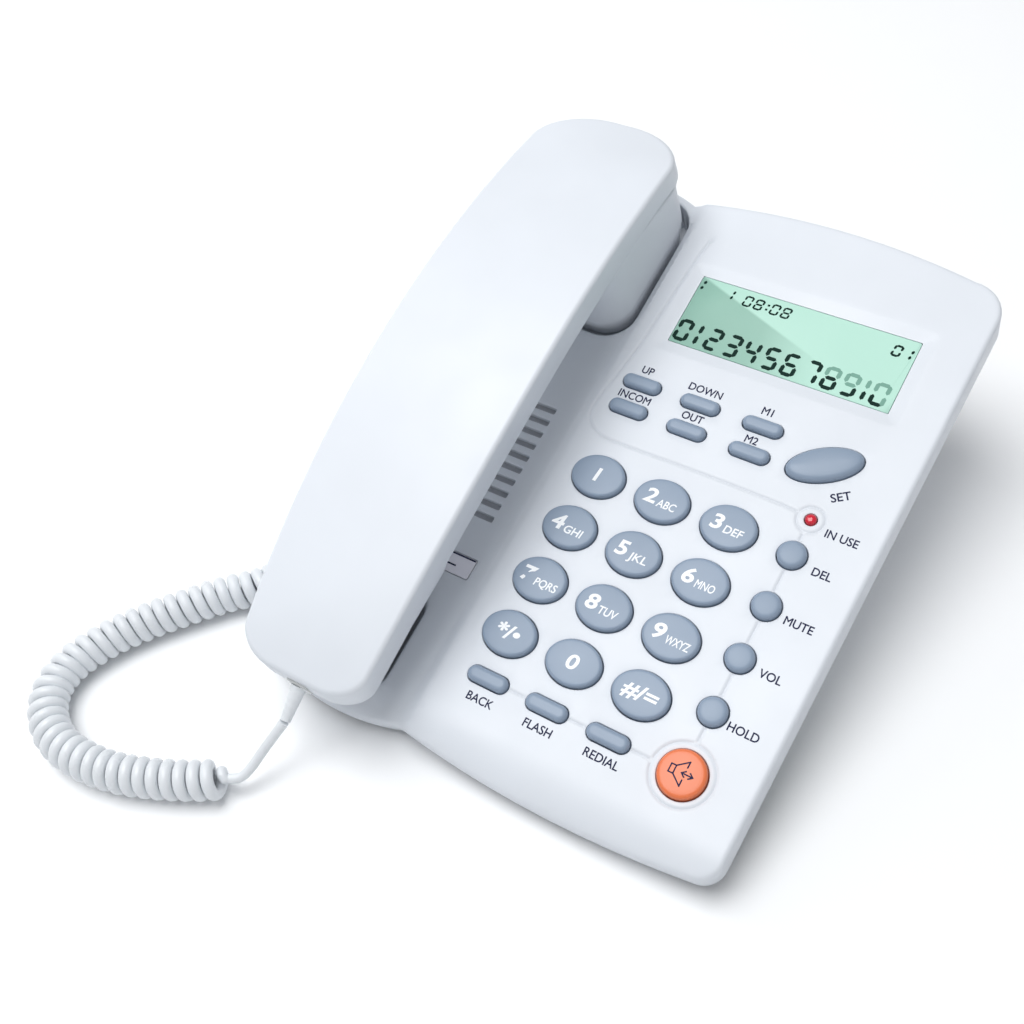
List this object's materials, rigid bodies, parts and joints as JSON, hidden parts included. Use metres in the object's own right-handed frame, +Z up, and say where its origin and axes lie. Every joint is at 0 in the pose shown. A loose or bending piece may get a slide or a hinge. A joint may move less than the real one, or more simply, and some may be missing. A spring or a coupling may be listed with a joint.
{
  "type": "corded telephone",
  "caption": "Sloping desk telephone with a keypad, a green display, an arched handset resting in a cradle and a curly handset cord.",
  "frame": {"origin": "middle of the underside of the telephone without its cord, on the surface it stands on", "axes": "+X to the right of someone using it, +Y towards its back, +Z up"},
  "size_m": [0.2118, 0.2488, 0.0871],
  "materials": {
    "shell": "satin pale grey-white ABS",
    "key": "satin blue-grey",
    "orange_key": "satin orange",
    "window": "smooth pale green display under a clear window",
    "red_lens": "smooth red",
    "rubber": "matt",
    "board": "matt green",
    "paper": "matt white",
    "dark_plastic": "matt black",
    "clear_plastic": "smooth, slightly clear",
    "cord": "satin pale grey PVC",
    "metal": "zinc plated",
    "weight_metal": "raw"
  },
  "bodies": {
    "base": {"base_top_shell": "shell", "base_bottom_shell": "shell", "display_window": "window", "display_module": "metal", "in_use_light": "red_lens", "keypad_mat": "rubber", "main_board": "board", "index_card": "paper", "hook_switch": "dark_plastic", "hands_free_microphone": "dark_plastic", "loudspeaker": "dark_plastic", "base_handset_jack": "dark_plastic", "line_jack": "dark_plastic", "foot_1": "rubber", "foot_2": "rubber", "foot_3": "rubber", "foot_4": "rubber", "base_screw_front": "metal", "base_screw_rear_left": "metal", "base_screw_rear_right": "metal", "plug_base": "clear_plastic", "cord_coil": "cord", "cord_lead_base": "cord", "cord_lead_handset": "cord"},
    "handset": {"handset_outer_shell": "shell", "handset_inner_shell": "shell", "earpiece_receiver": "dark_plastic", "handset_microphone": "dark_plastic", "handset_weight": "weight_metal", "handset_screw": "metal", "handset_jack": "dark_plastic", "plug_handset": "clear_plastic"},
    "hook": {"hook_plunger": "shell"},
    "key_star_cap": {"key_star": "key"},
    "key_0_cap": {"key_0": "key"},
    "key_hash_cap": {"key_hash": "key"},
    "key_7_cap": {"key_7": "key"},
    "key_8_cap": {"key_8": "key"},
    "key_9_cap": {"key_9": "key"},
    "key_4_cap": {"key_4": "key"},
    "key_5_cap": {"key_5": "key"},
    "key_6_cap": {"key_6": "key"},
    "key_1_cap": {"key_1": "key"},
    "key_2_cap": {"key_2": "key"},
    "key_3_cap": {"key_3": "key"},
    "key_up_cap": {"key_up": "key"},
    "key_down_cap": {"key_down": "key"},
    "key_m1_cap": {"key_m1": "key"},
    "key_incoming_cap": {"key_incoming": "key"},
    "key_outgoing_cap": {"key_outgoing": "key"},
    "key_m2_cap": {"key_m2": "key"},
    "key_hold_cap": {"key_hold": "key"},
    "key_volume_cap": {"key_volume": "key"},
    "key_function_cap": {"key_function": "key"},
    "key_delete_cap": {"key_delete": "key"},
    "key_back_cap": {"key_back": "key"},
    "key_flash_cap": {"key_flash": "key"},
    "key_redial_cap": {"key_redial": "key"},
    "key_set_cap": {"key_set": "key"},
    "key_speaker_cap": {"key_speaker": "orange_key"}
  },
  "joints": [
    {"name": "handset_lift", "type": "slide", "parent": "base", "child": "handset", "axis": [0, -0.2588, 0.9659], "range_m": [0, 0.1]},
    {"name": "hook_rise", "type": "slide", "parent": "base", "child": "hook", "axis": [0, -0.2588, 0.9659], "range_m": [0, 0.004]},
    {"name": "key_star_press", "type": "slide", "parent": "base", "child": "key_star_cap", "axis": [0, 0.2588, -0.9659], "range_m": [0, 0.0012], "stiffness_N_per_m": 500, "springref_m": -0.0006},
    {"name": "key_0_press", "type": "slide", "parent": "base", "child": "key_0_cap", "axis": [0, 0.2588, -0.9659], "range_m": [0, 0.0012], "stiffness_N_per_m": 500, "springref_m": -0.0006},
    {"name": "key_hash_press", "type": "slide", "parent": "base", "child": "key_hash_cap", "axis": [0, 0.2588, -0.9659], "range_m": [0, 0.0012], "stiffness_N_per_m": 500, "springref_m": -0.0006},
    {"name": "key_7_press", "type": "slide", "parent": "base", "child": "key_7_cap", "axis": [0, 0.2588, -0.9659], "range_m": [0, 0.0012], "stiffness_N_per_m": 500, "springref_m": -0.0006},
    {"name": "key_8_press", "type": "slide", "parent": "base", "child": "key_8_cap", "axis": [0, 0.2588, -0.9659], "range_m": [0, 0.0012], "stiffness_N_per_m": 500, "springref_m": -0.0006},
    {"name": "key_9_press", "type": "slide", "parent": "base", "child": "key_9_cap", "axis": [0, 0.2588, -0.9659], "range_m": [0, 0.0012], "stiffness_N_per_m": 500, "springref_m": -0.0006},
    {"name": "key_4_press", "type": "slide", "parent": "base", "child": "key_4_cap", "axis": [0, 0.2588, -0.9659], "range_m": [0, 0.0012], "stiffness_N_per_m": 500, "springref_m": -0.0006},
    {"name": "key_5_press", "type": "slide", "parent": "base", "child": "key_5_cap", "axis": [0, 0.2588, -0.9659], "range_m": [0, 0.0012], "stiffness_N_per_m": 500, "springref_m": -0.0006},
    {"name": "key_6_press", "type": "slide", "parent": "base", "child": "key_6_cap", "axis": [0, 0.2588, -0.9659], "range_m": [0, 0.0012], "stiffness_N_per_m": 500, "springref_m": -0.0006},
    {"name": "key_1_press", "type": "slide", "parent": "base", "child": "key_1_cap", "axis": [0, 0.2588, -0.9659], "range_m": [0, 0.0012], "stiffness_N_per_m": 500, "springref_m": -0.0006},
    {"name": "key_2_press", "type": "slide", "parent": "base", "child": "key_2_cap", "axis": [0, 0.2588, -0.9659], "range_m": [0, 0.0012], "stiffness_N_per_m": 500, "springref_m": -0.0006},
    {"name": "key_3_press", "type": "slide", "parent": "base", "child": "key_3_cap", "axis": [0, 0.2588, -0.9659], "range_m": [0, 0.0012], "stiffness_N_per_m": 500, "springref_m": -0.0006},
    {"name": "key_up_press", "type": "slide", "parent": "base", "child": "key_up_cap", "axis": [0, 0.2588, -0.9659], "range_m": [0, 0.0012], "stiffness_N_per_m": 500, "springref_m": -0.0006},
    {"name": "key_down_press", "type": "slide", "parent": "base", "child": "key_down_cap", "axis": [0, 0.2588, -0.9659], "range_m": [0, 0.0012], "stiffness_N_per_m": 500, "springref_m": -0.0006},
    {"name": "key_m1_press", "type": "slide", "parent": "base", "child": "key_m1_cap", "axis": [0, 0.2588, -0.9659], "range_m": [0, 0.0012], "stiffness_N_per_m": 500, "springref_m": -0.0006},
    {"name": "key_incoming_press", "type": "slide", "parent": "base", "child": "key_incoming_cap", "axis": [0, 0.2588, -0.9659], "range_m": [0, 0.0012], "stiffness_N_per_m": 500, "springref_m": -0.0006},
    {"name": "key_outgoing_press", "type": "slide", "parent": "base", "child": "key_outgoing_cap", "axis": [0, 0.2588, -0.9659], "range_m": [0, 0.0012], "stiffness_N_per_m": 500, "springref_m": -0.0006},
    {"name": "key_m2_press", "type": "slide", "parent": "base", "child": "key_m2_cap", "axis": [0, 0.2588, -0.9659], "range_m": [0, 0.0012], "stiffness_N_per_m": 500, "springref_m": -0.0006},
    {"name": "key_hold_press", "type": "slide", "parent": "base", "child": "key_hold_cap", "axis": [0, 0.2588, -0.9659], "range_m": [0, 0.0012], "stiffness_N_per_m": 500, "springref_m": -0.0006},
    {"name": "key_volume_press", "type": "slide", "parent": "base", "child": "key_volume_cap", "axis": [0, 0.2588, -0.9659], "range_m": [0, 0.0012], "stiffness_N_per_m": 500, "springref_m": -0.0006},
    {"name": "key_function_press", "type": "slide", "parent": "base", "child": "key_function_cap", "axis": [0, 0.2588, -0.9659], "range_m": [0, 0.0012], "stiffness_N_per_m": 500, "springref_m": -0.0006},
    {"name": "key_delete_press", "type": "slide", "parent": "base", "child": "key_delete_cap", "axis": [0, 0.2588, -0.9659], "range_m": [0, 0.0012], "stiffness_N_per_m": 500, "springref_m": -0.0006},
    {"name": "key_back_press", "type": "slide", "parent": "base", "child": "key_back_cap", "axis": [0, 0.2588, -0.9659], "range_m": [0, 0.0012], "stiffness_N_per_m": 500, "springref_m": -0.0006},
    {"name": "key_flash_press", "type": "slide", "parent": "base", "child": "key_flash_cap", "axis": [0, 0.2588, -0.9659], "range_m": [0, 0.0012], "stiffness_N_per_m": 500, "springref_m": -0.0006},
    {"name": "key_redial_press", "type": "slide", "parent": "base", "child": "key_redial_cap", "axis": [0, 0.2588, -0.9659], "range_m": [0, 0.0012], "stiffness_N_per_m": 500, "springref_m": -0.0006},
    {"name": "key_set_press", "type": "slide", "parent": "base", "child": "key_set_cap", "axis": [0, 0.2588, -0.9659], "range_m": [0, 0.0012], "stiffness_N_per_m": 500, "springref_m": -0.0006},
    {"name": "key_speaker_press", "type": "slide", "parent": "base", "child": "key_speaker_cap", "axis": [0, 0.2588, -0.9659], "range_m": [0, 0.0012], "stiffness_N_per_m": 500, "springref_m": -0.0006}
  ],
  "couplings": [
    {"joint": "hook_rise", "follows": "handset_lift", "ratio": 0.04}
  ]
}
